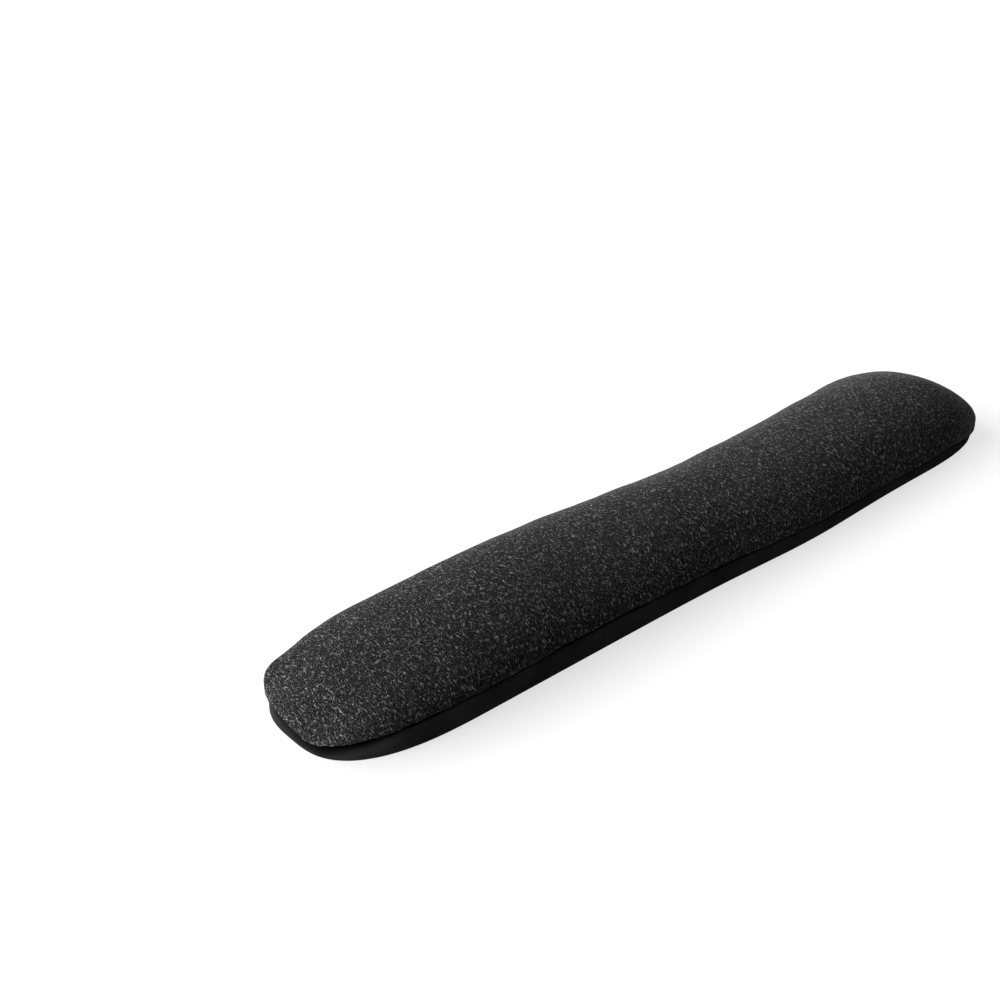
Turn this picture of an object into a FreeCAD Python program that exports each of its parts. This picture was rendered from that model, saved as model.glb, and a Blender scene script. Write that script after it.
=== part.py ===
import FreeCAD, Part
import math
import os

# Keyboard wrist rest: a long, low, bead-filled cushion sewn from two fabric panels.
#
# Frame: millimetres, +Z up, origin at the middle of the underside's bounding box.
# X runs along the cushion, -Y is the side nearest the user, +Y the side nearest the keyboard.
#
# Every layer of the cushion is the same form, moved further in: sections across X, each with
# a straight bottom, two tight lower curves up to the seam line and two wide upper curves to the
# crown. Each layer is then pressed flat underneath, as the cushion is where it rests on a desk.
# The loose filling has settled unevenly: the keyboard side draws in at a waist and stands out
# near the right end, and the user's side sags out a little beside the waist.

DIMENSIONS = {
    "total_length": 412.0,          # tip to tip
    "plain_width": 75.0,            # over the seam, where neither side bulges or draws in
    "crown_full": 28.6,             # crown height of the fullest stretches
    "crown_waist": 26.9,            # crown height at the waist
    "waist_depth": 4.5,             # how far the keyboard side draws in at the waist
    "waist_place": 32.0,            # the waist's place along X
    "waist_reach": 69.0,
    "flare_depth": 3.7,             # how far the keyboard side stands out near the right end
    "flare_place": 166.0,
    "flare_reach": 26.0,
    "sag_depth": 2.6,               # how far the user's side sags out
    "sag_place": 51.0,
    "sag_reach": 47.0,
    "plan_end_length": 67.0,        # over this length the plan narrows to the tip
    "plan_end_power": 2.82,         # higher is squarer
    "crown_left_length": 110.0,     # over this length the crown comes down to the left tip
    "crown_left_power": 1.8,
    "crown_right_length": 33.0,
    "crown_right_power": 1.5,
    "hull_end_length": 14.0,        # over this length the underside lifts towards the seam
    "lower_tuck": 2.4,              # how far the lower curves reach inwards from the seam line
    "settled_depth": 1.0,           # how far the rounded form is pressed flat on its underside
    "seam_left": 12.8,              # the seam's height over the left part
    "seam_right": 8.4,              # and over the right part
    "seam_fall_start": -105.0,      # it falls from one to the other between these two places
    "seam_fall_end": 136.0,
    "seam_tip_drop": 7.0,           # how far the seam falls again towards the left tip
    "seam_tip_length": 70.0,
    "cover_thickness": 0.9,
    "seam_allowance": 5.0,          # the turned-in edges, pressed up inside the cover
    "seam_thread": 0.4,
    "seam_stitch_pitch": 3.5,
    "overlock_pitch": 3.0,
    "overlock_bite": 3.0,           # how far an edge stitch reaches down from the raw edge
    "closing_length": 62.0,         # the gap left for filling, closed by hand
    "closing_pitch": 4.0,
    "liner_thickness": 0.3,
    "liner_side_inset": 4.5,        # clears the seam allowances and their stitches
    "liner_thread": 0.3,
    "liner_stitch_pitch": 4.0,
    "layer_gap": 0.2,               # between two layers that lie against each other
}

STATION_COUNT = 31                  # sections along the cushion
SEAM_POINT_COUNT = 25               # points that the seam's side view is drawn through
RING_POINT_COUNT = 120              # points that a row of stitches is drawn through
BLUNT_TIP = 0.993                   # the form ends this far along its end curve, at a small flat
BEZIER_QUARTER = 0.5523             # handle length that makes a cubic follow a quarter ellipse
STITCH_FILL = 0.72                  # share of its pitch that a stitch covers
CONTACT_GAP = 0.04                  # between a thread and the cloth it lies on


def make_sheet(doc):
    """The driving dimensions, one aliased cell each."""
    sheet = doc.addObject("Spreadsheet::Sheet", "Dimensions")
    for row, (alias, value) in enumerate(DIMENSIONS.items(), start=1):
        sheet.set("A%d" % row, alias)
        sheet.set("B%d" % row, str(value))
        sheet.setAlias("B%d" % row, alias)
    doc.recompute()
    return sheet


def ease(share):
    """A smooth step from 0 to 1."""
    return 0.5 - 0.5 * math.cos(math.pi * min(max(share, 0.0), 1.0))


def bell(x, place, reach):
    """A smooth hump along X, 1 at its place."""
    return math.exp(-((x - place) / reach) ** 2)


def seam_height(sheet, x):
    """The seam line's height. It falls from left to right, and again towards the left tip."""
    fall = ease((x - sheet.seam_fall_start) / (sheet.seam_fall_end - sheet.seam_fall_start))
    tip = ease((-x - sheet.total_length / 2 + sheet.seam_tip_length) / sheet.seam_tip_length)
    height = sheet.seam_left + (sheet.seam_right - sheet.seam_left) * fall
    return height - sheet.seam_tip_drop * tip


class Layer:
    """The cushion's form, moved in from the outside by a side, a top and a bottom inset."""

    def __init__(self, sheet, side, top=None, bottom=None):
        self.sheet = sheet
        self.side = side
        self.top = side if top is None else top
        self.bottom = side if bottom is None else bottom
        self.half_length = sheet.total_length / 2 - side

    def end_shape(self, x, end_length, power):
        """1 along the middle, falling to nearly 0 at the tip."""
        share = (abs(x) - (self.half_length - end_length)) / end_length
        share = min(max(share, 0.0), 1.0) * BLUNT_TIP
        return (1 - share ** power) ** (1 / power)

    def plan_end(self, x):
        return self.end_shape(x, self.sheet.plan_end_length, self.sheet.plan_end_power)

    def crown_end(self, x):
        sheet = self.sheet
        if x < 0:
            return self.end_shape(x, sheet.crown_left_length, sheet.crown_left_power)
        return self.end_shape(x, sheet.crown_right_length, sheet.crown_right_power)

    def waist(self, x):
        return bell(x, self.sheet.waist_place, self.sheet.waist_reach)

    def back(self, x):
        """Half-width on the keyboard side, at the seam."""
        sheet = self.sheet
        flare = sheet.flare_depth * bell(x, sheet.flare_place, sheet.flare_reach)
        half = sheet.plain_width / 2 - sheet.waist_depth * self.waist(x) + flare - self.side
        return half * self.plan_end(x)

    def front(self, x):
        """Half-width on the user's side, at the seam."""
        sheet = self.sheet
        sag = sheet.sag_depth * bell(x, sheet.sag_place, sheet.sag_reach)
        return (sheet.plain_width / 2 + sag - self.side) * self.plan_end(x)

    def rise(self, x):
        """How far the crown stands above the seam."""
        sheet = self.sheet
        crown = sheet.crown_full - (sheet.crown_full - sheet.crown_waist) * self.waist(x)
        return (crown - self.top - seam_height(sheet, x)) * self.crown_end(x)

    def floor(self, x):
        """The height of the rounded underside before it is pressed flat. It lifts at the tips."""
        lift = 1 - self.end_shape(x, self.sheet.hull_end_length, 2)
        lowest = self.bottom - self.sheet.settled_depth
        return lowest + (seam_height(self.sheet, x) - lowest) * lift

    def section(self, x):
        """One closed section across the cushion."""
        seam = seam_height(self.sheet, x)
        crown = seam + self.rise(x)
        bottom = self.floor(x)
        back = self.back(x)
        front = self.front(x)
        tuck = min(self.sheet.lower_tuck, front / 3)
        wire = [
            straight(x, tuck - front, bottom, back - tuck, bottom),
            quarter(x, (back - tuck, bottom), (back, bottom), (back, seam)),
            quarter(x, (back, seam), (back, crown), (0, crown)),
            quarter(x, (0, crown), (-front, crown), (-front, seam)),
            quarter(x, (-front, seam), (-front, bottom), (tuck - front, bottom)),
        ]
        return Part.Wire(wire)

    def ring(self, height):
        """The closed line round this layer's side, a height above the seam."""
        reach = self.half_length
        while self.rise(reach) < height * 1.02:
            reach -= CONTACT_GAP
        points = []
        for index in range(RING_POINT_COUNT):
            turn = 2 * math.pi * index / RING_POINT_COUNT
            x = reach * math.cos(turn)
            half = self.back(x) if math.sin(turn) > 0 else self.front(x)
            drawn_in = math.sqrt(max(0.0, 1 - (height / self.rise(x)) ** 2))
            y = math.copysign(half * drawn_in, math.sin(turn))
            points.append(FreeCAD.Vector(x, y, seam_height(self.sheet, x) + height))
        curve = Part.BSplineCurve()
        curve.interpolate(Points=points, PeriodicFlag=True)
        return curve.toShape()


def straight(x, y_start, z_start, y_end, z_end):
    start = FreeCAD.Vector(x, y_start, z_start)
    return Part.LineSegment(start, FreeCAD.Vector(x, y_end, z_end)).toShape()


def quarter(x, start, corner, end):
    """A quarter-ellipse curve from start to end, inside the square corner between them."""
    handles = [start]
    for point in (start, end):
        handles.append(tuple(p + (c - p) * BEZIER_QUARTER for p, c in zip(point, corner)))
    handles.append(end)
    curve = Part.BezierCurve()
    curve.setPoles([FreeCAD.Vector(x, y, z) for y, z in handles])
    return curve.toShape()


def cut(doc, name, base, tool):
    result = doc.addObject("Part::Cut", name)
    result.Base = base
    result.Tool = tool
    return result


def common(doc, name, first, second):
    result = doc.addObject("Part::Common", name)
    result.Base = first
    result.Tool = second
    return result


def fuse(doc, name, pieces):
    result = doc.addObject("Part::MultiFuse", name)
    result.Shapes = pieces
    return result


def make_form(doc, name, layer):
    """The solid form of one layer: lofted through its sections, then pressed flat underneath."""
    sections = []
    for index in range(STATION_COUNT):
        turn = math.pi * (index / (STATION_COUNT - 1) - 0.5)
        x = layer.half_length * math.sin(turn)
        section = doc.addObject("Part::Feature", "%s_section_%02d" % (name, index))
        section.Shape = layer.section(x)
        sections.append(section)
    loft = doc.addObject("Part::Loft", name + "_loft")
    loft.Sections = sections
    loft.Solid = True
    loft.Ruled = False

    table = doc.addObject("Part::Box", name + "_table")
    table.setExpression("Length", "Dimensions.total_length * 2")
    table.setExpression("Width", "Dimensions.plain_width * 2")
    table.setExpression("Height", "Dimensions.plain_width")
    table.setExpression("Placement.Base.x", "-Dimensions.total_length")
    table.setExpression("Placement.Base.y", "-Dimensions.plain_width")
    table.setExpression("Placement.Base.z", "%r mm - Dimensions.plain_width * 1 mm" % layer.bottom)
    return cut(doc, name, loft, table)


def make_slab(doc, name, sheet, lower, upper):
    """A slab that follows the seam, from one offset to another. None goes past the cushion."""
    half = sheet.total_length / 2 + sheet.plain_width
    edges = []
    ends = []
    for offset, past in ((lower, -sheet.plain_width), (upper, sheet.plain_width)):
        points = []
        for index in range(SEAM_POINT_COUNT):
            x = half * (2 * index / (SEAM_POINT_COUNT - 1) - 1)
            z = past if offset is None else seam_height(sheet, x) + offset
            points.append(FreeCAD.Vector(x, 0, z))
        curve = Part.BSplineCurve()
        curve.interpolate(points)
        edges.append(curve.toShape())
        ends.append((points[0], points[-1]))
    for low, high in zip(*ends):
        edges.append(Part.LineSegment(low, high).toShape())
    profile = doc.addObject("Part::Feature", name + "_profile")
    profile.Shape = Part.Face(Part.Wire(Part.sortEdges(edges)[0]))
    slab = doc.addObject("Part::Extrusion", name)
    slab.Base = profile
    slab.DirMode = "Custom"
    slab.Dir = FreeCAD.Vector(0, 1, 0)
    slab.Solid = True
    slab.Symmetric = True
    slab.setExpression("LengthFwd", "Dimensions.plain_width * 2")
    return slab


def make_cover(doc, sheet):
    """The two cover panels. Their turned-in edges are pressed up inside, behind the top panel."""
    thickness = sheet.cover_thickness
    forms = [make_form(doc, "cover_form_%d" % fold, Layer(sheet, fold * thickness))
             for fold in range(4)]
    allowance = sheet.seam_allowance
    above = make_slab(doc, "above_seam", sheet, 0, None)
    below = make_slab(doc, "below_seam", sheet, None, 0)
    over_allowance = make_slab(doc, "over_allowance", sheet, allowance, None)
    under_turn = make_slab(doc, "under_turn", sheet, None, -thickness)
    band = make_slab(doc, "allowance_band", sheet, -thickness, allowance)

    top_block = common(doc, "top_block", forms[0], above)
    top_space = common(doc, "top_space", forms[1], over_allowance)
    top_doubled = cut(doc, "top_doubled", top_block, top_space)
    top = cut(doc, "top_cover", top_doubled, forms[2])

    base_block = common(doc, "base_block", forms[0], below)
    base_band = common(doc, "base_band", forms[2], band)
    base_outside = fuse(doc, "base_outside", [base_block, base_band])
    base_space = common(doc, "base_space", forms[1], under_turn)
    base_turned = cut(doc, "base_turned", base_outside, base_space)
    base = cut(doc, "base_cover", base_turned, forms[3])
    return [top, base]


def make_liner(doc, sheet):
    """The inner bag, in two panels, and the beads that fill it."""
    skin = sheet.cover_thickness + sheet.layer_gap
    outside = Layer(sheet, sheet.liner_side_inset, skin, skin)
    inner = skin + sheet.liner_thickness
    inside = Layer(sheet, sheet.liner_side_inset + sheet.liner_thickness, inner, inner)
    packed = inner + sheet.layer_gap
    filling = Layer(sheet, inside.side + sheet.layer_gap, packed, packed)

    bag = cut(doc, "liner_bag", make_form(doc, "liner_form", outside),
              make_form(doc, "liner_space", inside))
    split = sheet.liner_thread / 2
    top = common(doc, "liner_top", bag, make_slab(doc, "liner_above", sheet, split, None))
    base = common(doc, "liner_base", bag, make_slab(doc, "liner_below", sheet, None, split))
    fill = make_form(doc, "bead_fill", filling)
    return [top, base, fill]


def stitch(start, end, thread):
    """One stitch: a straight length of thread between two points."""
    run = end - start
    return Part.makeCylinder(thread / 2, run.Length, start, run)


def make_stitches(doc, name, shapes):
    row = doc.addObject("Part::Feature", name)
    row.Shape = Part.makeCompound(shapes)
    return row


def pitch_points(ring, pitch):
    """Evenly spaced points round a closed line, about a pitch apart, the first point repeated."""
    return ring.discretize(Number=round(ring.Length / pitch) + 1)


def in_closing_gap(sheet, point):
    """True for the stretch round the left tip, on the user's side, that was closed by hand."""
    reach = sheet.total_length / 2 - sheet.closing_length
    return point.x < -reach and point.y < 0


def make_seam_stitching(doc, sheet):
    """The machine seam through both allowances, just above the fold. It stops at the gap."""
    thread = sheet.seam_thread
    wall = Layer(sheet, 3 * sheet.cover_thickness + thread / 2 + CONTACT_GAP)
    points = pitch_points(wall.ring(thread), sheet.seam_stitch_pitch)
    stitches = [stitch(start, start + (end - start) * STITCH_FILL, thread)
                for start, end in zip(points, points[1:])
                if not in_closing_gap(sheet, start)]
    return make_stitches(doc, "seam_stitching", stitches)


def make_closing_stitching(doc, sheet):
    """The hand stitches that close the gap at the left end, one slanting up at each pitch."""
    thread = sheet.seam_thread
    wall = Layer(sheet, 3 * sheet.cover_thickness + thread / 2 + CONTACT_GAP)
    lower = pitch_points(wall.ring(thread), sheet.closing_pitch)
    upper = pitch_points(wall.ring(sheet.seam_allowance - sheet.overlock_bite), sheet.closing_pitch)
    stitches = []
    for start in lower:
        if in_closing_gap(sheet, start):
            end = min(upper, key=start.distanceToPoint)
            stitches.append(stitch(start, start + (end - start) * STITCH_FILL, thread))
    return make_stitches(doc, "closing_stitching", stitches)


def make_overlock_stitching(doc, sheet):
    """The edge stitching that binds the raw edges of both allowances, one slant at each pitch."""
    thread = sheet.seam_thread
    wall = Layer(sheet, 3 * sheet.cover_thickness + thread / 2 + CONTACT_GAP)
    upper = pitch_points(wall.ring(sheet.seam_allowance), sheet.overlock_pitch)
    lower_ring = wall.ring(sheet.seam_allowance - sheet.overlock_bite + thread)
    lower = lower_ring.discretize(Number=len(upper))
    stitches = [stitch(low, low + (high - low) * STITCH_FILL, thread)
                for low, high in zip(lower[:-1], upper[1:])]
    return make_stitches(doc, "overlock_stitching", stitches)


def make_liner_stitching(doc, sheet):
    """The liner's own seam, a row of short stitches lying along its side."""
    thread = sheet.liner_thread
    wall = Layer(sheet, sheet.liner_side_inset - thread / 2 - CONTACT_GAP,
                 sheet.cover_thickness, sheet.cover_thickness)
    points = pitch_points(wall.ring(thread / 2), sheet.liner_stitch_pitch)
    stitches = [stitch(start, start + (end - start) * STITCH_FILL, thread)
                for start, end in zip(points, points[1:])]
    return make_stitches(doc, "liner_stitching", stitches)


def check(doc, sheet, nodes):
    """Stops if any object failed, or if a node's shape is empty, broken or cut short."""
    for item in doc.Objects:
        if "Invalid" in item.State or "Error" in item.State:
            raise RuntimeError("%s failed: %s" % (item.Name, item.State))
    for node in nodes:
        if node.Shape.isNull() or not node.Shape.isValid() or not node.Shape.Solids:
            raise RuntimeError("%s has no sound shape" % node.Name)
        if node.Name.endswith("_cover"):
            if node.Shape.BoundBox.XLength < sheet.total_length - sheet.cover_thickness:
                raise RuntimeError("%s doesn't reach from tip to tip" % node.Name)


def main():
    doc = FreeCAD.newDocument("wrist_rest")
    sheet = make_sheet(doc)
    nodes = make_cover(doc, sheet)
    nodes += make_liner(doc, sheet)
    nodes.append(make_seam_stitching(doc, sheet))
    nodes.append(make_closing_stitching(doc, sheet))
    nodes.append(make_overlock_stitching(doc, sheet))
    nodes.append(make_liner_stitching(doc, sheet))
    for node in nodes:
        node.Label = node.Name
    doc.recompute()
    check(doc, sheet, nodes)

    os.makedirs("parts", exist_ok=True)
    for node in nodes:
        node.Shape.exportStep("parts/%s.step" % node.Label)
        box = node.Shape.BoundBox
        print("%-20s %3d solids  %9.1f mm3  x %7.2f %7.2f  y %6.2f %6.2f  z %6.2f %6.2f" % (
            node.Label, len(node.Shape.Solids), node.Shape.Volume,
            box.XMin, box.XMax, box.YMin, box.YMax, box.ZMin, box.ZMax))


main()
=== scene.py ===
import math

import bpy
import numpy as np
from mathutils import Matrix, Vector, kdtree, noise


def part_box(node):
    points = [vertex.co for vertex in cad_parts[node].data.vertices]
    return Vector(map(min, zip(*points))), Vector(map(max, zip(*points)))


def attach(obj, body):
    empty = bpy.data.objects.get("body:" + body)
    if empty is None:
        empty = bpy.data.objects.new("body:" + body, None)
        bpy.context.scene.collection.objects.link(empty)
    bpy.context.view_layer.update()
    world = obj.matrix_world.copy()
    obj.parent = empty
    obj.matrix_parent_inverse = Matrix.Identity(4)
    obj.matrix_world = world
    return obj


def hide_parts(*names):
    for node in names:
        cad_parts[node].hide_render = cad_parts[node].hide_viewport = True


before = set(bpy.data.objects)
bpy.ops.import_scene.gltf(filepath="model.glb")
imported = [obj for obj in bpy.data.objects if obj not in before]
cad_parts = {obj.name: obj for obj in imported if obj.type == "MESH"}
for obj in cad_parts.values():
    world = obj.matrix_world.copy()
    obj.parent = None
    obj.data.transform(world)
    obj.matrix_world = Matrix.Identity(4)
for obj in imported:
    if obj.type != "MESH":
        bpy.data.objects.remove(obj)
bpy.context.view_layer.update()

MM = 0.001
QUARTER = math.pi / 2
TINY = 1e-9                         # keeps a division or a sign away from zero

# The cushion's form: X along it, -Y the user's side, +Z up. The values are the CAD's, except
# those marked "not the CAD's", which follow the softer form that the cloth takes.
COVER_LOW, COVER_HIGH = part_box("top_cover")
LENGTH = COVER_HIGH[0] - COVER_LOW[0]
HALF_WIDTH = 37.5 * MM              # over the seam, where neither side bulges or draws in
CROWN_FULL = 28.6 * MM
CROWN_WAIST = 26.9 * MM
WAIST_DEPTH = 4.5 * MM              # the keyboard side draws in here
WAIST = (32.0 * MM, 69.0 * MM)      # a hump's place along X, and its reach
FLARE_DEPTH = 3.7 * MM              # the keyboard side stands out here
FLARE = (166.0 * MM, 26.0 * MM)
SAG_DEPTH = 2.6 * MM                # the user's side sags out here
SAG = (51.0 * MM, 47.0 * MM)
PLAN_END = (67.0 * MM, 2.82)        # length over which the plan narrows to the tip, and its power
CROWN_LEFT = (110.0 * MM, 1.8)      # the same for the crown, at either end
CROWN_RIGHT = (31.0 * MM, 1.5)      # not the CAD's
END_SOFTNESS = 10.0 * MM            # not the CAD's: how gently the end shapes begin
LOWER_TUCK = 2.4 * MM               # how far the lower curves reach in from the seam
LOWER_BULGE = 0.34 * MM             # not the CAD's: the wall's fullness, halfway down
SETTLED_DEPTH = 1.0 * MM            # how far the underside is pressed flat
SEAM_LEFT = 12.8 * MM               # the seam's height over the left part, and over the right
SEAM_RIGHT = 8.4 * MM
SEAM_FALL = (-105.0 * MM, 136.0 * MM)
SEAM_TIP = (3.1 * MM, 62.0 * MM)    # not the CAD's: fall to the left tip, and over what length
CLOTH = 0.9 * MM                    # thickness of a cover panel
ALLOWANCE = 5.0 * MM                # the turned-in edges, pressed up inside

# As sewn: both panels roll in to the seam, and the filling pushes them out beyond it. The seam
# dips twice round the left tip, and once at the right end on the user's side.
SEAM_SLACK = 0.6 * MM               # the seam hangs this far under its height in the CAD
SEAM_DIPS = (                       # height, place, reach
    (-3.6 * MM, (-203.0 * MM, -14.0 * MM), 13.0 * MM),
    (-2.0 * MM, (-202.0 * MM, 18.0 * MM), 10.0 * MM),
    (-5.0 * MM, (190.0 * MM, -30.0 * MM), 19.0 * MM),
)
CORNER_PULLS = (                    # the top panel is drawn out at two corners: pull, place, reach
    ((-2.1 * MM, 1.8 * MM, 1.0 * MM), (-196.0 * MM, 27.0 * MM, 16.0 * MM), 9.0 * MM),
    ((1.8 * MM, -1.6 * MM, 0.0), (199.0 * MM, -22.0 * MM, 10.0 * MM), 15.0 * MM),
)
SEAM_RECESS = (0.3 * MM, 0.12)      # the base panel's edge sits in behind the top panel's,
GAP_RECESS = (1.8 * MM, 0.60)       # and further in along the gap that was closed by hand
GAP_END = -174.0 * MM               # the gap's end along the user's side,
GAP_FADE = 24.0 * MM                # and the length over which it opens
TOP_LIP = 1.3 * MM                  # radius that the top panel rolls under with
BASE_LIP = 0.8 * MM                 # and that the base panel rolls in with
LIP_SHARE = TOP_LIP / (CROWN_FULL - (SEAM_LEFT + SEAM_RIGHT) / 2)

# Mesh density.
END_FAN = 36.0 * MM                 # the last stretch at each end, where columns fan out
COLUMN_PITCH = 1.2 * MM
DOME_ROWS = 38
WALL_ROWS = 22
UNDERSIDE_ROWS = 10
ROLL_ROWS = 6
INSIDE_ROWS = 10
BAND_SHARES = (0.0, 0.5, 1.0)       # rows up the turned-in edge
HALVINGS = 24                       # steps of the search for a height on the dome


# ---------------------------------------------------------------- the form

def ease(share):
    return 0.5 - 0.5 * np.cos(np.pi * np.clip(share, 0, 1))


def bell(x, hump):
    place, reach = hump
    return np.exp(-((x - place) / reach) ** 2)


def spot(points, place, reach):
    """A smooth round hump, 1 at its place. It works in plan and in space."""
    return np.exp(-((points - place) ** 2).sum(1) / reach ** 2)


def seam_height(plan):
    """The seam line's height. It falls from left to right, and again towards the left tip."""
    x = plan[:, 0]
    start, end = SEAM_FALL
    tip_drop, tip_length = SEAM_TIP
    height = SEAM_LEFT + (SEAM_RIGHT - SEAM_LEFT) * ease((x - start) / (end - start)) - SEAM_SLACK
    height -= tip_drop * ease((-x - LENGTH / 2 + tip_length) / tip_length)
    for rise, place, reach in SEAM_DIPS:
        height += rise * spot(plan, place, reach)
    return height


def in_gap(plan):
    """1 along the hand-closed gap, round the left tip on the user's side, and 0 elsewhere."""
    along = ease((GAP_END - plan[:, 0]) / GAP_FADE)
    return along * ease(1 - plan[:, 1] / GAP_FADE)


def softly(distance):
    """The distance where it is well above 0, easing to 0 below that, so no crease shows."""
    return (distance + np.sqrt(distance ** 2 + END_SOFTNESS ** 2)) / 2


class Layer:
    """The cushion's form, moved in from the outside at the sides, the top and the bottom."""

    def __init__(self, side, top, bottom):
        self.side = side * MM
        self.top = top * MM
        self.bottom = bottom * MM
        self.half_length = LENGTH / 2 - self.side

    def end_shape(self, x, end):
        """1 along the middle, falling to 0 at the tip."""
        length, power = end
        share = softly(np.abs(x) - self.half_length + length) / softly(length)
        return (1 - np.clip(share, 0, 1) ** power) ** (1 / power)

    def half_width(self, x, facing):
        """Half-width at the seam. facing is 1 towards the keyboard and -1 towards the user."""
        back = FLARE_DEPTH * bell(x, FLARE) - WAIST_DEPTH * bell(x, WAIST)
        front = SAG_DEPTH * bell(x, SAG)
        half = HALF_WIDTH + np.where(facing > 0, back, front) - self.side
        return half * self.end_shape(x, PLAN_END)

    def dome(self, plan):
        """Height of the upper surface above the seam."""
        x, y = plan[:, 0], plan[:, 1]
        crown = CROWN_FULL - (CROWN_FULL - CROWN_WAIST) * bell(x, WAIST) - self.top
        end = np.where(x < 0, self.end_shape(x, CROWN_LEFT), self.end_shape(x, CROWN_RIGHT))
        half = np.maximum(self.half_width(x, np.sign(y)), TINY)
        return (crown - seam_height(plan)) * end * np.sqrt(np.clip(1 - (y / half) ** 2, 0, 1))

    def floor(self, plan):
        """Height of the underside, the same everywhere, before it is pressed flat."""
        return np.full(len(plan), self.bottom - SETTLED_DEPTH)


# Insets in millimetres: side, top, bottom.
TOP_SKIN = Layer(0.3, 0.0, 0.0)
TOP_INSIDE = Layer(1.5, 1.5, 0.9)
TOP_FOLD = Layer(2.10, 1.5, 0.9)    # inner face of the top panel's turned-in edge
BASE_SKIN = Layer(0.8, 0.6, 0.0)    # the top panel stands out past the base panel
BASE_FOLD = Layer(2.14, 1.5, 0.9)   # outer face of the base panel's turned-in edge
BASE_FOLD_INSIDE = Layer(2.65, 1.5, 0.9)
BASE_INSIDE = Layer(2.2, 1.5, 0.9)


class Columns:
    """Columns of points round the plan: straight across along the sides, fanned at the ends."""

    def __init__(self, pitch):
        self.straight = round((LENGTH - 2 * END_FAN) / pitch)
        fan = round(math.pi * END_FAN / pitch)
        along = np.linspace(-1, 1, self.straight + 1)
        turn = np.linspace(-QUARTER, QUARTER, fan + 1)[1:-1]
        none = np.zeros(self.straight + 1)
        self.facing = np.sign(np.concatenate([none - 1, turn + TINY, none + 1, TINY - turn]))
        self.place = np.concatenate([along, turn * 0 + 1, along[::-1], turn * 0 - 1])
        self.reach = np.concatenate([none, np.cos(turn), none, -np.cos(turn)])
        self.spine_index = np.rint((self.place + 1) / 2 * self.straight).astype(int)
        self.count = len(self.place)

    def spine(self):
        x = (LENGTH / 2 - END_FAN) * np.linspace(-1, 1, self.straight + 1)
        return np.stack([x, np.zeros_like(x)], 1)

    def centre(self):
        return self.spine()[self.spine_index]

    def outline(self, layer):
        """Where each column meets the seam line of a layer, in plan."""
        x = (LENGTH / 2 - END_FAN) * self.place + self.reach * (END_FAN - layer.side)
        return np.stack([x, self.facing * layer.half_width(x, self.facing)], 1)

    def plan(self, layer, share):
        """Points a share of the way from the spine to the seam line."""
        return self.centre() + (self.outline(layer) - self.centre()) * np.reshape(share, (-1, 1))

    def tucked(self, layer, inset):
        """The seam line in plan, moved straight in by an inset."""
        edge = self.outline(layer)
        run = np.roll(edge, -1, 0) - np.roll(edge, 1, 0)
        inward = np.stack([-run[:, 1], run[:, 0]], 1)
        inward /= np.linalg.norm(inward, axis=1, keepdims=True)
        return edge + inward * np.reshape(inset, (-1, 1))


def with_height(plan, z):
    return np.column_stack([plan, np.broadcast_to(z, len(plan))])


def over_top(layer, plan, lip=0.0):
    """Points on the dome. A lip lifts the widest line above the seam by its own radius."""
    shrink = 1 - lip / TOP_LIP * LIP_SHARE
    return with_height(plan, seam_height(plan) + lip + layer.dome(plan) * shrink)


def share_at_height(columns, layer, height):
    """How far out each column's dome stands a given height above the seam."""
    low = np.zeros(columns.count)
    high = np.ones(columns.count)
    for _ in range(HALVINGS):
        middle = (low + high) / 2
        above = layer.dome(columns.plan(layer, middle)) > height
        low = np.where(above, middle, low)
        high = np.where(above, high, middle)
    return low


def band_row(columns, layer, height):
    """A row round the inside of the wall, a height above the seam."""
    plan = columns.plan(layer, share_at_height(columns, layer, height))
    return with_height(plan, seam_height(plan) + height)


def pressed(z, bottom):
    """Heights kept above a flat bottom, with a soft edge where the cloth leaves it."""
    softness = 0.3 * MM
    above = z - bottom
    return bottom + (above + np.sqrt(above ** 2 + softness ** 2)) / 2


def edge_recess(gap, share):
    """How far in the base panel lies near its edge. share is how far down the wall."""
    seam_depth, seam_share = SEAM_RECESS
    gap_depth, gap_share = GAP_RECESS
    return (seam_depth * math.exp(-(share / seam_share) ** 2)
            + gap_depth * gap * (1 - ease((share / gap_share - 0.5) / 0.5)))


def wall_row(columns, layer, turn, drop):
    """A row on the lower curve. turn runs from 0 at the seam to a quarter turn underneath."""
    gap = in_gap(columns.outline(layer))
    recess = edge_recess(gap, math.sin(turn))
    plan = columns.tucked(
        layer, LOWER_TUCK * (1 - math.cos(turn)) - LOWER_BULGE * math.sin(2 * turn) + recess)
    seam = seam_height(plan) - drop
    z = seam - (seam - layer.floor(plan)) * math.sin(turn)
    return with_height(plan, pressed(z, layer.bottom))


def underside_rows(columns, layer, count):
    """Rows from the middle of the underside out to the foot of the lower curve."""
    centre = columns.centre()
    foot = columns.tucked(layer, LOWER_TUCK)
    rows = []
    for k in range(1, count + 1):
        plan = centre + (foot - centre) * (k / count)
        rows.append(with_height(plan, pressed(layer.floor(plan), layer.bottom)))
    return rows


def rolled_rows(columns, layer, lip, upward):
    """Rows that roll a panel's edge in to the seam, from below or from above it."""
    recess = 0 if upward else edge_recess(in_gap(columns.outline(layer)), 0)
    rows = []
    for k in range(1, ROLL_ROWS + 1):
        turn = QUARTER * k / ROLL_ROWS
        plan = columns.tucked(layer, lip * (1 - math.cos(turn)) + recess)
        away = lip * (1 - math.sin(turn)) * (1 if upward else -1)
        rows.append(with_height(plan, seam_height(plan) + away))
    return rows


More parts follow.
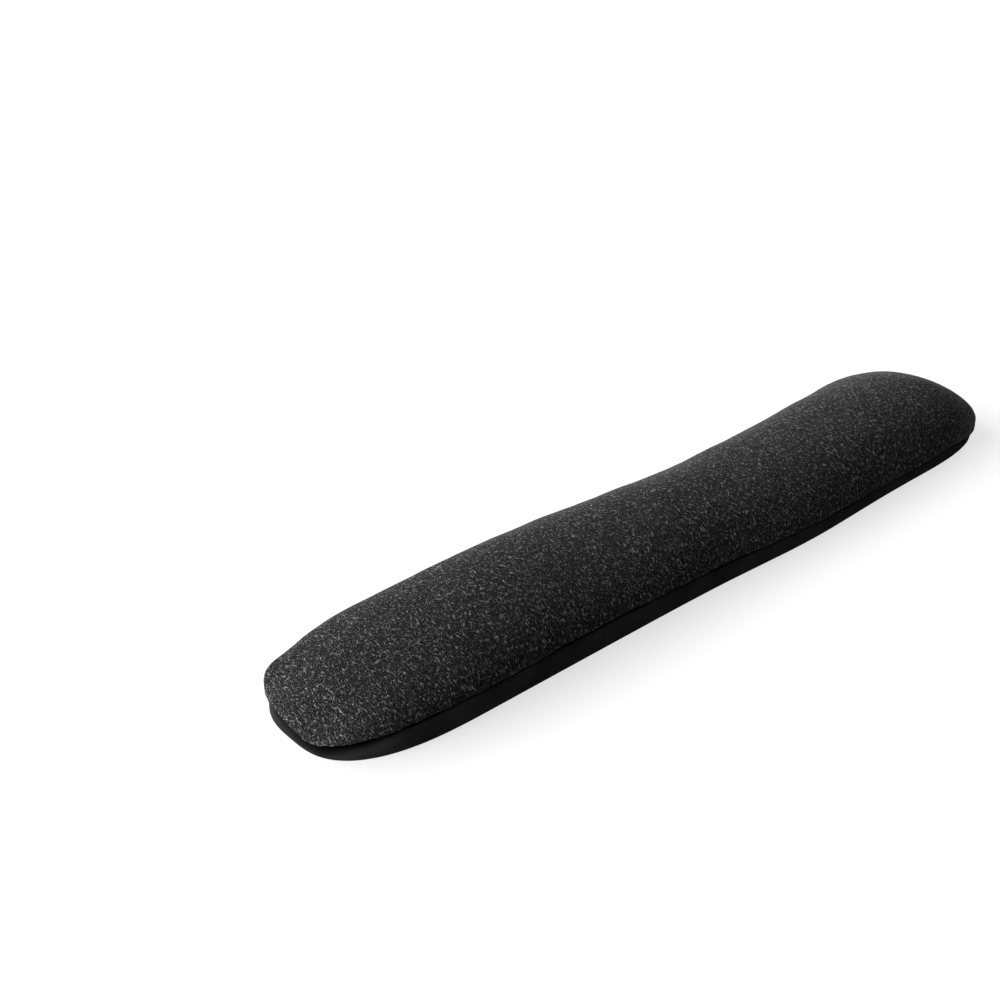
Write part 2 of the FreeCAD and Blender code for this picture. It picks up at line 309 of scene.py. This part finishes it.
def top_panel_rows(columns):
    """The top panel, from the middle of its outside to the middle of its inside."""
    rows = [over_top(TOP_SKIN, columns.plan(TOP_SKIN, math.sin(QUARTER * k / DOME_ROWS)), TOP_LIP)
            for k in range(1, DOME_ROWS + 1)]
    rows += rolled_rows(columns, TOP_SKIN, TOP_LIP, True)
    outside = len(rows)
    rows += [band_row(columns, TOP_FOLD, ALLOWANCE * share) for share in BAND_SHARES]
    band_top = share_at_height(columns, TOP_INSIDE, ALLOWANCE)
    rows += [over_top(TOP_INSIDE, columns.plan(TOP_INSIDE, band_top * (1 - k / INSIDE_ROWS)))
             for k in range(INSIDE_ROWS)]
    for pull, place, reach in CORNER_PULLS:
        rows = [row + np.outer(spot(row, place, reach), pull) for row in rows]
    return rows, outside


def base_panel_rows(columns):
    """The base panel, from the middle of its underside, up and in, to the middle of its inside."""
    rows = underside_rows(columns, BASE_SKIN, UNDERSIDE_ROWS)
    rows += [wall_row(columns, BASE_SKIN, QUARTER * (1 - k / WALL_ROWS), BASE_LIP)
             for k in range(1, WALL_ROWS + 1)]
    rows += rolled_rows(columns, BASE_SKIN, BASE_LIP, False)
    outside = len(rows)
    rows += [band_row(columns, BASE_FOLD, ALLOWANCE * share) for share in BAND_SHARES]
    rows += [band_row(columns, BASE_FOLD_INSIDE, ALLOWANCE * share) for share in BAND_SHARES[::-1]]
    rows += [wall_row(columns, BASE_INSIDE, QUARTER * k / INSIDE_ROWS, CLOTH)
             for k in range(1, INSIDE_ROWS)]
    rows += underside_rows(columns, BASE_INSIDE, INSIDE_ROWS)[::-1]
    return rows, outside


# ---------------------------------------------------------------- meshes from rows

def row_faces(columns, row_count, flip):
    """Faces from the first spine, across every row, to the last spine."""
    ring = np.arange(columns.count)
    following = np.roll(ring, -1)
    spine = columns.spine_index
    first_row = columns.straight + 1
    last_spine = first_row + row_count * columns.count
    faces = []
    for row in range(row_count - 1):
        near = first_row + row * columns.count
        far = near + columns.count
        faces += np.stack([near + ring, far + ring, far + following, near + following], 1).tolist()
    for spine_start, row_start, closing in (
            (0, first_row, False), (last_spine, last_spine - columns.count, True)):
        for here, after in zip(ring, following):
            face = [spine_start + spine[here], row_start + here,
                    row_start + after, spine_start + spine[after]]
            if face[0] == face[3]:
                face.pop()
            faces.append(face[::-1] if closing else face)
    return [face[::-1] for face in faces] if flip else faces


def cloth_map(columns, points, row_count):
    """Where each point lay on the flat cloth: out from the spine by the distance along the rows."""
    centre = columns.centre()
    spread = columns.outline(TOP_SKIN) - centre
    direction = spread / np.linalg.norm(spread, axis=1, keepdims=True)
    first_row = columns.straight + 1
    rows = points[first_row:first_row + row_count * columns.count]
    rows = rows.reshape(row_count, columns.count, 3)
    start = points[:first_row][columns.spine_index][None]
    steps = np.linalg.norm(np.diff(np.concatenate([start, rows]), axis=0), axis=2)
    distance = np.cumsum(steps, axis=0)
    flat = centre[None] + direction[None] * distance[:, :, None]
    spine = columns.spine()
    return np.concatenate([spine, flat.reshape(-1, 2), spine]), distance


def make_object(name, points, faces, flat=None):
    mesh = bpy.data.meshes.new(name)
    mesh.from_pydata([tuple(p) for p in points], [], [[int(i) for i in face] for face in faces])
    mesh.update()
    mesh.shade_smooth()
    if flat is not None:
        layer = mesh.uv_layers.new(name="Cloth")
        corners = np.empty(len(mesh.loops), dtype=np.int32)
        mesh.loops.foreach_get("vertex_index", corners)
        layer.data.foreach_set("uv", flat[corners].astype(np.float32).ravel())
    piece = bpy.data.objects.new(name, mesh)
    bpy.context.scene.collection.objects.link(piece)
    return piece


def read_points(mesh):
    points = np.empty(len(mesh.vertices) * 3)
    mesh.vertices.foreach_get("co", points)
    return points.reshape(-1, 3)


def write_points(mesh, points):
    mesh.vertices.foreach_set("co", np.asarray(points, dtype=np.float32).ravel())
    mesh.update()


def read_normals(mesh):
    normals = np.empty(len(mesh.vertices) * 3)
    mesh.vertex_normals.foreach_get("vector", normals)
    return normals.reshape(-1, 3)


# ---------------------------------------------------------------- the filling pushes the cloth out

SIM_PITCH = 5.0 * MM
SIM_ROWS = (12, 5)                  # over the dome, and down the wall
SIM_VOXEL = 3.8 * MM
SIM_FRAMES = 20
SIM_QUALITY = 8
SIM_PRESSURE = 4.0
SIM_CAP = 3.0 * MM                  # the furthest that the filling may push a point
SEWN_REACH = 2.4 * MM               # held this near the seam line
FIELD_NEIGHBOURS = 14
FIELD_SPREAD = 3.6 * MM
FIELD_NEAREST = 0.5                 # the share of the nearest point's distance taken off


def closed_cushion():
    """A plain closed cushion of the same form, for the cloth simulation."""
    columns = Columns(SIM_PITCH)
    dome_rows, wall_rows = SIM_ROWS
    rows = [over_top(TOP_SKIN, columns.plan(TOP_SKIN, math.sin(QUARTER * k / dome_rows)))
            for k in range(1, dome_rows + 1)]
    rows += [wall_row(columns, TOP_SKIN, QUARTER * k / wall_rows, 0.0)
             for k in range(1, wall_rows)]
    rows += underside_rows(columns, TOP_SKIN, wall_rows)[::-1]
    spine = columns.spine()
    points = np.concatenate(
        [over_top(TOP_SKIN, spine)] + rows
        + [with_height(spine, pressed(TOP_SKIN.floor(spine), 0.0))])
    return make_object("cushion_sim", points, row_faces(columns, len(rows), False))


def inflate():
    """Rest points of the simulated cushion, and how far the filling pushes each one."""
    cushion = closed_cushion()
    remesh = cushion.modifiers.new("voxels", "REMESH")
    remesh.mode = "VOXEL"
    remesh.voxel_size = SIM_VOXEL
    depsgraph = bpy.context.evaluated_depsgraph_get()
    mesh = bpy.data.meshes.new_from_object(cushion.evaluated_get(depsgraph))
    cushion.modifiers.clear()
    cushion.data = mesh
    rest = read_points(mesh)

    held = cushion.vertex_groups.new(name="sewn")
    near_seam = np.abs(rest[:, 2] - seam_height(rest[:, :2])) < SEWN_REACH
    on_floor = rest[:, 2] < SETTLED_DEPTH
    held.add([int(i) for i in np.flatnonzero(near_seam | on_floor)], 1.0, "REPLACE")

    cloth = cushion.modifiers.new("cloth", "CLOTH")
    settings = cloth.settings
    settings.vertex_group_mass = held.name
    settings.use_pressure = True
    settings.uniform_pressure_force = SIM_PRESSURE
    settings.effector_weights.gravity = 0
    settings.quality = SIM_QUALITY
    cloth.point_cache.frame_start = 1
    cloth.point_cache.frame_end = SIM_FRAMES
    for step in range(1, SIM_FRAMES + 1):
        bpy.context.scene.frame_set(step)
    depsgraph = bpy.context.evaluated_depsgraph_get()
    pushed = read_points(cushion.evaluated_get(depsgraph).data)
    bpy.context.scene.frame_set(1)
    bpy.data.objects.remove(cushion)

    push = pushed - rest
    length = np.linalg.norm(push, axis=1, keepdims=True)
    push *= np.minimum(1, SIM_CAP / np.maximum(length, TINY))
    print("inflate: points %d, mean push %.2f mm, most %.2f mm" % (
        len(rest), length.mean() / MM, length.max() / MM))
    return rest, push


def spread_push(rest, push, points):
    """The push at any points, as a smooth average of the nearest simulated ones."""
    tree = kdtree.KDTree(len(rest))
    for index, point in enumerate(rest):
        tree.insert(point, index)
    tree.balance()
    result = np.zeros_like(points)
    for index, point in enumerate(points):
        found = tree.find_n(point, FIELD_NEIGHBOURS)
        near = np.array([hit[1] for hit in found])
        distance = np.array([hit[2] for hit in found])
        weight = np.exp(-((distance - distance[0] * FIELD_NEAREST) / FIELD_SPREAD) ** 2)
        result[index] = (push[near] * weight[:, None]).sum(0) / weight.sum()
    return result


# ---------------------------------------------------------------- hand-made unevenness

LUMPS = ((55 * MM, 0.9, 1), (19 * MM, 0.32, 2), (7 * MM, 0.08, 3))  # size, height in mm, seed
SEAM_WAVES = ((2.6 * MM, 0.28, 31), (9 * MM, 0.32, 32))             # the same
SEAM_WAVE_REACH = 3 * MM            # the waviness dies away over this from the seam
GATHERS = ((1.0, 0.75), (0.45, 0.45))   # share of the pitch, share of the depth
TOP_PUCKERS = (3.2 * MM, 0.42 * MM, 4.2 * MM, 11)       # reach, depth, pitch, seed
BASE_PUCKERS = (4.0 * MM, 0.22 * MM, 6.0 * MM, 21)
TOP_SHADE_REACH = (1.1 * MM, 0.0)    # how far from the seam line the colour is darkened as painted shade; more at the gap
BASE_SHADE_REACH = (1.3 * MM, 4.0 * MM)
FLOOR_FADE = 4 * MM                 # nothing is uneven at the table, and all is above this


def noise_at(points, scale, seed):
    """Smooth noise, from about -1 to 1, at each point."""
    offset = Vector((seed * 3.1, seed * 7.7, seed * 1.3))
    return np.array([noise.noise(Vector(p) * (1 / scale) + offset) for p in points])


def lumps(points):
    """The unevenness of a loose filling: how far out each point stands, in metres."""
    return sum(noise_at(points, size, seed) * height * MM for size, height, seed in LUMPS)


def puckers(columns, distance, outside, reach, depth, pitch, seed):
    """The fine gathers along a seam: how far each outside point is drawn in."""
    edge = with_height(columns.outline(TOP_SKIN), 0)
    gather = sum(noise_at(edge, pitch * finer, seed + turn) * share
                 for turn, (finer, share) in enumerate(GATHERS))
    from_seam = distance[outside - 1][None] - distance[:outside]
    fade = np.exp(-(np.maximum(from_seam - TOP_LIP, 0) / reach) ** 2)
    return gather[None] * fade * depth


def seam_wave(columns):
    """The seam line's small waviness, the same for both panels."""
    edge = with_height(columns.outline(TOP_SKIN), 0)
    return sum(noise_at(edge, size, seed) * height for size, height, seed in SEAM_WAVES) * MM


def painted_shade_share(columns, from_seam, reach):
    """Painted shade for the seam's groove: 1 where the cloth rolls in to the seam, and 0 out on the
    open cloth.
    """
    seam_reach, gap_reach = reach
    reach = seam_reach + gap_reach * in_gap(columns.outline(TOP_SKIN))
    return np.exp(-(from_seam / reach[None]) ** 4)


def finish_panel(name, columns, rows, outside, spines, flip, push_field, gathers, shade_reach):
    """Builds a panel with its mask of painted seam shade, lets the filling push it out, and adds
    lumps and puckers.
    """
    points = np.concatenate([spines[0]] + rows + [spines[1]])
    flat, distance = cloth_map(columns, points, len(rows))
    first_row = columns.straight + 1
    from_seam = np.abs(distance - distance[outside - 1])
    wave = seam_wave(columns)[None] * np.exp(-(from_seam / SEAM_WAVE_REACH) ** 2)
    points[first_row:first_row + wave.size, 2] += wave.ravel()
    faces = row_faces(columns, len(rows), flip)
    piece = make_object(name, points, faces, flat)
    # A mask of painted shade for the seam's groove, kept on the points for the materials.
    shade_mask = np.zeros(len(points))
    shade_mask[first_row:first_row + wave.size] = painted_shade_share(columns, from_seam, shade_reach).ravel()
    piece.data.attributes.new("painted_seam_shade", "FLOAT", "POINT").data.foreach_set("value", shade_mask)
    if push_field is not None:
        points = points + spread_push(*push_field, points)
        write_points(piece.data, points)
    normals = read_normals(piece.data)
    last_outside = first_row + outside * columns.count
    sign = np.ones(len(points))
    sign[last_outside:] = -1
    lift = lumps(points) * sign
    lift[first_row:last_outside] -= puckers(columns, distance, outside, *gathers).ravel()
    off_floor = ease(points[:, 2] / FLOOR_FADE)
    moved = points + normals * (lift * off_floor)[:, None]
    moved[:, 2] = np.maximum(moved[:, 2], 0)
    write_points(piece.data, moved)
    return piece


# ---------------------------------------------------------------- materials

PAINTED_SHADE_GREY = 0.0002                  # painted shade: the colour where the cloth rolls in to the seam
KNIT_FIBRES = (                     # angle in degrees, length and width in mm, threshold
    (98, 2.2, 0.50, 0.60),
    (76, 1.7, 0.48, 0.62),
    (130, 1.4, 0.48, 0.635),
)
FIBRE_SWAY = 3.0                    # how far the fibres' direction wanders, in mm,
FIBRE_SWAY_SCALE = 0.22             # and how finely
FIBRE_EDGE = 0.12                   # softness of a fibre's edge
FIBRE_GREY = 0.092
FIBRE_TINTS = (0.04, -0.035)        # warmer and cooler fibres
FIBRE_PATCHES = (0.34, 0.70, 0.12, 1.15)    # patches of more and fewer fibres
FIBRE_RELIEF = 0.6
GROUND_GREYS = (0.0003, 0.015)
BASE_GREYS = (0.0064, 0.0108)
DUST_GREY = 0.022
DUST_RANGE = (0.66, 0.8, 0, 0.25)
BASE_ROUGHNESS = (0.3, 0.7, 0.58, 0.72)
WEAVE_SCALE = 2.2
SEWING_THREAD_GREY = 0.012
LINER_THREAD_GREY = 0.7
TWIST_PAINTED_CONTRAST = 0.3                # painted highlight on the thread's ridges against painted shade in its hollows


class Shader:
    """A node material being built."""

    def __init__(self, name, **sockets):
        self.material = bpy.data.materials.new(name)
        self.material.use_nodes = True
        self.tree = self.material.node_tree
        self.principled = self.tree.nodes["Principled BSDF"]
        for socket, value in sockets.items():
            self.principled.inputs[socket.replace("_", " ")].default_value = value

    def add(self, kind, links=(), **settings):
        """A node, with attributes or socket values set, and inputs linked by name."""
        node = self.tree.nodes.new(kind)
        for key, value in settings.items():
            if key in node.inputs:
                node.inputs[key].default_value = value
            else:
                setattr(node, key, value)
        for socket, source in dict(links).items():
            self.tree.links.new(source, node.inputs[socket])
        return node

    def link(self, source, socket):
        self.tree.links.new(source, self.principled.inputs[socket])

    def cloth(self):
        """The flat cloth's own coordinates, in millimetres."""
        uv = self.add("ShaderNodeUVMap", uv_map="Cloth")
        scale = self.add("ShaderNodeVectorMath", operation="SCALE", links={0: uv.outputs["UV"]})
        scale.inputs["Scale"].default_value = 1000
        return scale.outputs["Vector"]

    def noise(self, vector, scale, detail=2.0, roughness=0.5, dimensions="3D"):
        return self.add(
            "ShaderNodeTexNoise", links={"Vector": vector}, noise_dimensions=dimensions,
            Scale=scale, Detail=detail, Roughness=roughness)

    def remap(self, value, low, high, to_low=0.0, to_high=1.0):
        node = self.add("ShaderNodeMapRange", links={"Value": value}, interpolation_type="SMOOTHSTEP")
        for socket, number in (("From Min", low), ("From Max", high),
                               ("To Min", to_low), ("To Max", to_high)):
            node.inputs[socket].default_value = number
        return node.outputs["Result"]

    def maths(self, operation, first, second):
        node = self.add("ShaderNodeMath", operation=operation)
        for index, value in enumerate((first, second)):
            if isinstance(value, (int, float)):
                node.inputs[index].default_value = value
            else:
                self.tree.links.new(value, node.inputs[index])
        return node.outputs["Value"]

    def mix(self, factor, first, second):
        """A colour mix. Either colour may be a plain one or a node's output."""
        node = self.add("ShaderNodeMix", data_type="RGBA")
        sources = {"Factor_Float": factor, "A_Color": first, "B_Color": second}
        for socket in node.inputs:
            value = sources.get(socket.identifier)
            if value is None:
                continue
            if isinstance(value, bpy.types.NodeSocket):
                self.tree.links.new(value, socket)
            else:
                socket.default_value = value
        return next(out for out in node.outputs if out.identifier == "Result_Color")

    def with_painted_shade(self, colour):
        """The colour, darkened almost to black as painted shade where the cloth rolls in to the seam.
        """
        painted_seam_shade = self.add("ShaderNodeAttribute", attribute_name="painted_seam_shade")
        return self.mix(painted_seam_shade.outputs["Fac"], colour, grey(PAINTED_SHADE_GREY))

    def bump(self, height, strength, distance):
        node = self.add("ShaderNodeBump", links={"Height": height}, Strength=strength,
                        Distance=distance)
        self.link(node.outputs["Normal"], "Normal")


def grey(value, warm=0.0):
    return (value * (1 + warm), value, value * (1 - warm), 1.0)


def flecks(shader, cloth, angle, length, width, threshold):
    """Short fibres lying along one direction, as a mask."""
    bend = shader.noise(cloth, FIBRE_SWAY_SCALE, 1.0)
    centred = shader.add("ShaderNodeVectorMath", operation="SUBTRACT",
                         links={0: bend.outputs["Color"]})
    centred.inputs[1].default_value = (0.5, 0.5, 0.5)
    sway = shader.add("ShaderNodeVectorMath", operation="SCALE",
                      links={0: centred.outputs["Vector"]})
    sway.inputs["Scale"].default_value = FIBRE_SWAY
    moved = shader.add("ShaderNodeVectorMath", operation="ADD",
                       links={0: cloth, 1: sway.outputs["Vector"]})
    turned = shader.add("ShaderNodeVectorRotate", rotation_type="Z_AXIS",
                        links={"Vector": moved.outputs["Vector"]})
    turned.inputs["Angle"].default_value = math.radians(angle)
    stretched = shader.add("ShaderNodeVectorMath", operation="MULTIPLY",
                           links={0: turned.outputs["Vector"]})
    stretched.inputs[1].default_value = (1 / length, 1 / width, 1.0)
    field = shader.noise(stretched.outputs["Vector"], 1.0, 1.0, 0.4)
    return shader.remap(field.outputs["Fac"], threshold, threshold + FIBRE_EDGE)


def heathered_knit():
    """Brushed charcoal knit: near-black ground with short pale fibres lying mostly one way."""
    shader = Shader("heathered_knit", Roughness=0.95, Sheen_Weight=0.04, Sheen_Roughness=0.2,
                    Sheen_Tint=grey(1.0), Specular_IOR_Level=0.01)
    cloth = shader.cloth()
    across, slant, stray = [flecks(shader, cloth, *fibre) for fibre in KNIT_FIBRES]
    fibres = shader.maths("MAXIMUM", shader.maths("MAXIMUM", across, slant), stray)
    patches = shader.noise(cloth, 0.55, 3.0, 0.6)
    amount = shader.remap(patches.outputs["Fac"], *FIBRE_PATCHES)
    fibres = shader.maths("MULTIPLY", fibres, amount)
    grain = shader.noise(cloth, 1.7, 2.0, 0.6)
    ground = shader.mix(shader.remap(grain.outputs["Fac"], 0.36, 0.72),
                        *[grey(value) for value in GROUND_GREYS])
    hue = shader.noise(cloth, 0.3, 1.0)
    warmth = shader.remap(hue.outputs["Fac"], 0.3, 0.7)
    fibre_colour = shader.mix(warmth, *[grey(FIBRE_GREY, tint) for tint in FIBRE_TINTS])
    # The knit's colour, with painted shade darkening the seam's groove.
    shader.link(shader.with_painted_shade(shader.mix(fibres, ground, fibre_colour)), "Base Color")
    relief = shader.maths("MULTIPLY", fibres, FIBRE_RELIEF)
    height = shader.maths("ADD", grain.outputs["Fac"], relief)
    shader.bump(height, 0.6, 0.3 * MM)
    return shader.material


def base_cloth():
    """Smooth black close-woven cloth, with a very fine weave and faint rubbed patches."""
    shader = Shader("base_cloth", Sheen_Weight=0.004, Sheen_Roughness=0.4, Specular_IOR_Level=0.0)
    cloth = shader.cloth()
    weave = []
    for axis in ("X", "Y"):
        wave = shader.add("ShaderNodeTexWave", links={"Vector": cloth}, bands_direction=axis,
                          wave_profile="SIN", Scale=WEAVE_SCALE, Distortion=0.4)
        weave.append(wave.outputs["Fac"])
    threads = shader.maths("MULTIPLY", weave[0], weave[1])
    worn = shader.noise(cloth, 0.05, 4.0)
    dust = shader.noise(cloth, 1.2, 2.0)
    body = shader.mix(shader.remap(worn.outputs["Fac"], 0.35, 0.7),
                      *[grey(value) for value in BASE_GREYS])
    dusty = shader.mix(shader.remap(dust.outputs["Fac"], *DUST_RANGE), body, grey(DUST_GREY))
    # The cloth's colour, with painted shade darkening the seam's groove.
    shader.link(shader.with_painted_shade(dusty), "Base Color")
    shader.link(shader.remap(worn.outputs["Fac"], *BASE_ROUGHNESS), "Roughness")
    shader.bump(threads, 0.35, 0.08 * MM)
    return shader.material


def plain_thread(name, value):
    """Twisted sewing thread, with painted shade in the twist's hollows and painted highlight on its
    ridges.
    """
    shader = Shader(name, Roughness=0.7, Sheen_Weight=0.1)
    place = shader.add("ShaderNodeTexCoord")
    twist = shader.add("ShaderNodeTexWave", links={"Vector": place.outputs["Object"]},
                       bands_direction="DIAGONAL", Scale=900.0, Distortion=1.0)
    # The colour follows the twist's bumps: painted shade in the hollows, painted highlight on the
    # ridges.
    hollow, ridge = grey(value * (1 - TWIST_PAINTED_CONTRAST)), grey(value * (1 + TWIST_PAINTED_CONTRAST))
    shader.link(shader.mix(twist.outputs["Fac"], hollow, ridge), "Base Color")
    shader.bump(twist.outputs["Fac"], 0.5, 0.05 * MM)
    return shader.material


def liner_cloth():
    """Thin off-white non-woven liner, with its pressed dots."""
    shader = Shader("liner_cloth", Roughness=0.85, Sheen_Weight=0.2)
    place = shader.add("ShaderNodeTexCoord")
    dots = shader.add("ShaderNodeTexVoronoi", links={"Vector": place.outputs["Object"]}, Scale=800.0)
    fibre = shader.noise(place.outputs["Object"], 1500.0, 4.0)
    shader.link(shader.mix(fibre.outputs["Fac"], grey(0.6, 0.03), grey(0.78, 0.03)), "Base Color")
    shader.bump(dots.outputs["Distance"], 0.4, 0.1 * MM)
    return shader.material


def bead_mass():
    """A packed mass of small white beads, with painted shade in the gaps between them."""
    shader = Shader("bead_mass", Roughness=0.45)
    place = shader.add("ShaderNodeTexCoord")
    beads = shader.add("ShaderNodeTexVoronoi", links={"Vector": place.outputs["Object"]}, Scale=600.0)
    # The gaps between the beads are painted darker, as shade.
    gap = shader.remap(beads.outputs["Distance"], 0.3, 0.7)
    shader.link(shader.mix(gap, grey(0.85), grey(0.35)), "Base Color")
    shader.bump(shader.maths("SUBTRACT", 1.0, beads.outputs["Distance"]), 0.9, 0.8 * MM)
    return shader.material


def paint(piece, material):
    piece.data.materials.clear()
    piece.data.materials.append(material)


def paint_node(node, material):
    """A carried-over CAD piece keeps its mesh and gets a better material."""
    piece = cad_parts[node]
    for slot in piece.material_slots:
        slot.material = material


# ---------------------------------------------------------------- floor, light, camera

ROOM_LIGHT = 0.2
BACKDROP = 1.0                      # seen beyond the table; it lights nothing
TABLE_GLOW = 0.68
TABLE_PALE = 0.16
TABLE_MOTTLE = 0.96                 # the share of that left in its darker patches
TABLE_REACH = 6.0
CAMERA_AIM = (-29.4, 81.4, 0.0)     # in millimetres
CAMERA_HEADING = 41.8               # degrees clockwise from +Y
CAMERA_DROP = 29.57                 # degrees below level
CAMERA_DISTANCE = 0.6999
CAMERA_LENS = 53.85                 # in millimetres, over a sensor this wide
CAMERA_SENSOR = 36.0


def heading(azimuth, elevation):
    """The direction of a place in the room. Azimuth is clockwise from +Y, seen from above."""
    turn, lift = math.radians(azimuth), math.radians(elevation)
    return (math.sin(turn) * math.cos(lift), math.cos(turn) * math.cos(lift), math.sin(lift))


def glow(tree, towards, reach, strength):
    """A soft bright patch of the room's wall: its strength in each direction."""
    place = tree.nodes.new("ShaderNodeTexCoord")
    facing = tree.nodes.new("ShaderNodeVectorMath")
    facing.operation = "DOT_PRODUCT"
    facing.inputs[1].default_value = towards
    tree.links.new(place.outputs["Generated"], facing.inputs[0])
    fade = tree.nodes.new("ShaderNodeMapRange")
    fade.interpolation_type = "SMOOTHSTEP"
    fade.inputs["From Min"].default_value = math.cos(math.radians(reach))
    fade.inputs["To Max"].default_value = strength
    tree.links.new(facing.outputs["Value"], fade.inputs["Value"])
    return fade.outputs["Result"]


ROOM_PATCHES = (                    # direction, reach in degrees, strength: behind, left, right
    (heading(342, 10), 46, 17.5),
    (heading(286, 9), 31, 48.0),
    (heading(76, 12), 36, 7.0),
)


def make_room():
    """A dim white room with soft patches of light. Seen directly, it is plain white."""
    world = bpy.data.worlds.new("studio")
    world.use_nodes = True
    tree = world.node_tree
    total = ROOM_LIGHT
    for patch in ROOM_PATCHES:
        add = tree.nodes.new("ShaderNodeMath")
        tree.links.new(glow(tree, *patch), add.inputs[0])
        if isinstance(total, float):
            add.inputs[1].default_value = total
        else:
            tree.links.new(total, add.inputs[1])
        total = add.outputs["Value"]
    seen = tree.nodes.new("ShaderNodeLightPath")
    backdrop = tree.nodes.new("ShaderNodeMix")
    backdrop.inputs["B"].default_value = BACKDROP
    tree.links.new(seen.outputs["Is Camera Ray"], backdrop.inputs["Factor"])
    tree.links.new(total, backdrop.inputs["A"])
    tree.links.new(backdrop.outputs["Result"], tree.nodes["Background"].inputs["Strength"])
    tree.nodes["Background"].inputs["Color"].default_value = (1, 1, 1, 1)
    bpy.context.scene.world = world


def make_stage():
    """A pale table, lit faintly from below as product tables are."""
    shader = Shader("floor", Roughness=0.9, Specular_IOR_Level=0.1, Emission_Color=grey(1.0),
                    Emission_Strength=TABLE_GLOW)
    place = shader.add("ShaderNodeTexCoord")
    mottle = shader.noise(place.outputs["Object"], 3.0, 2.0)
    shader.link(shader.mix(mottle.outputs["Fac"], grey(TABLE_PALE * TABLE_MOTTLE),
                           grey(TABLE_PALE)), "Base Color")
    corners = [(x * TABLE_REACH, y * TABLE_REACH, 0)
               for x, y in ((-1, -1), (1, -1), (1, 1), (-1, 1))]
    floor = make_object("floor", corners, [[0, 1, 2, 3]])
    paint(floor, shader.material)


def make_camera():
    """About 0.7 m from its aim, looking down from the user's side, beyond the left end."""
    turn, drop = math.radians(CAMERA_HEADING), math.radians(CAMERA_DROP)
    aim = Vector(CAMERA_AIM) * MM
    look = Vector((math.sin(turn) * math.cos(drop),
                   math.cos(turn) * math.cos(drop), -math.sin(drop)))
    camera = bpy.data.cameras.new("camera")
    camera.sensor_width = CAMERA_SENSOR
    camera.lens = CAMERA_LENS
    holder = bpy.data.objects.new("camera", camera)
    holder.location = aim - look * CAMERA_DISTANCE
    holder.rotation_euler = look.to_track_quat("-Z", "Y").to_euler()
    bpy.context.scene.collection.objects.link(holder)
    bpy.context.scene.camera = holder


# ---------------------------------------------------------------- the wrist rest

def make_panels():
    push_field = inflate()
    columns = Columns(COLUMN_PITCH)
    spine = columns.spine()

    rows, outside = top_panel_rows(columns)
    spines = (over_top(TOP_SKIN, spine, TOP_LIP), over_top(TOP_INSIDE, spine))
    top = finish_panel("top_panel", columns, rows, outside, spines, False, push_field, TOP_PUCKERS,
                       TOP_SHADE_REACH)
    paint(top, heathered_knit())
    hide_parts("top_cover")

    rows, outside = base_panel_rows(columns)
    spines = (with_height(spine, pressed(BASE_SKIN.floor(spine), BASE_SKIN.bottom)),
              with_height(spine, pressed(BASE_INSIDE.floor(spine), BASE_INSIDE.bottom)))
    base = finish_panel("base_panel", columns, rows, outside, spines, True, push_field, BASE_PUCKERS,
                        BASE_SHADE_REACH)
    paint(base, base_cloth())
    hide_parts("base_cover")

    for panel in (top, base):
        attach(panel, "root")


make_camera()
make_room()
make_stage()
make_panels()
# The stitches keep their CAD places, so parts of a few show in the groove at the left tip.
thread = plain_thread("sewing_thread", SEWING_THREAD_GREY)
for stitching in ("seam_stitching", "closing_stitching", "overlock_stitching"):
    paint_node(stitching, thread)
paint_node("liner_stitching", plain_thread("liner_thread", LINER_THREAD_GREY))
for liner in ("liner_top", "liner_base"):
    paint_node(liner, liner_cloth())
paint_node("bead_fill", bead_mass())
bpy.context.scene.view_settings.view_transform = "Standard"
